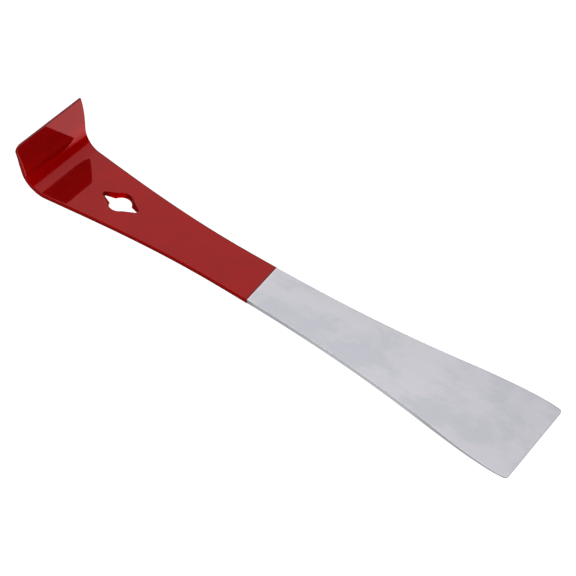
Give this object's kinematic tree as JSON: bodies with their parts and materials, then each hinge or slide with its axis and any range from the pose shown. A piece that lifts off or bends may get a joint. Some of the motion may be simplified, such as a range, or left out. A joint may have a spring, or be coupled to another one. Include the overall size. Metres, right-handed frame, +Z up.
{
  "type": "hive tool",
  "caption": "Flat steel pry bar with a wide sharpened blade, a folded scraping hook, a nail-puller hole and a red enamelled handle.",
  "frame": {"origin": "under the middle of the tool's length and width, on the plane that the handle's underside lies on", "axes": "+X along the bar towards the bare blade, +Y across it, +Z up, the way the hook points"},
  "size_m": [0.2668, 0.0446, 0.0305],
  "materials": {
    "steel": "satin ground",
    "enamel": "high gloss"
  },
  "bodies": {
    "root": {"steel_bar": "steel", "enamel_coat": "enamel"}
  },
  "joints": []
}
